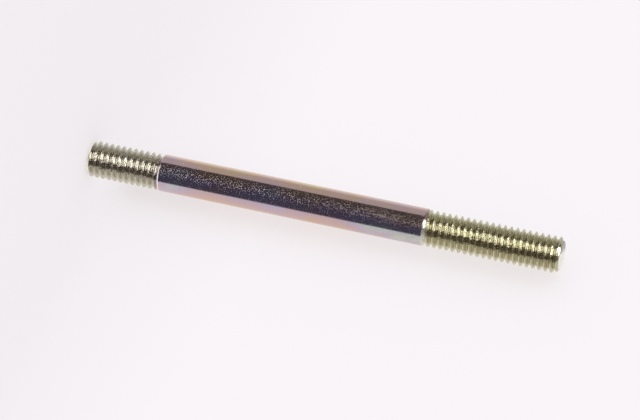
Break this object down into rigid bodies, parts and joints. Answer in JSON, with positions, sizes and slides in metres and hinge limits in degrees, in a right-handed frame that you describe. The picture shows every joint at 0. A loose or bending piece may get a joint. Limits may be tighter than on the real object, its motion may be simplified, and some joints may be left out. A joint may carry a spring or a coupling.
{
  "type": "exhaust manifold stud",
  "caption": "Double-ended steel stud: a plain round shank with a short thread for the cylinder head and a long thread for the manifold nut.",
  "frame": {"origin": "on the stud's axis, where the shank reaches its full diameter at the short thread's end", "axes": "+Z along the stud's axis, from the short thread that screws into the cylinder head, which it stands on, up to the long thread that takes the nut; X and Y are any two directions across it"},
  "size_m": [0.0096, 0.0096, 0.1238],
  "materials": {
    "plated_steel": "yellow zinc plating, bright, with a faint rainbow tint"
  },
  "bodies": {
    "root": {"stud": "plated_steel"}
  },
  "joints": []
}
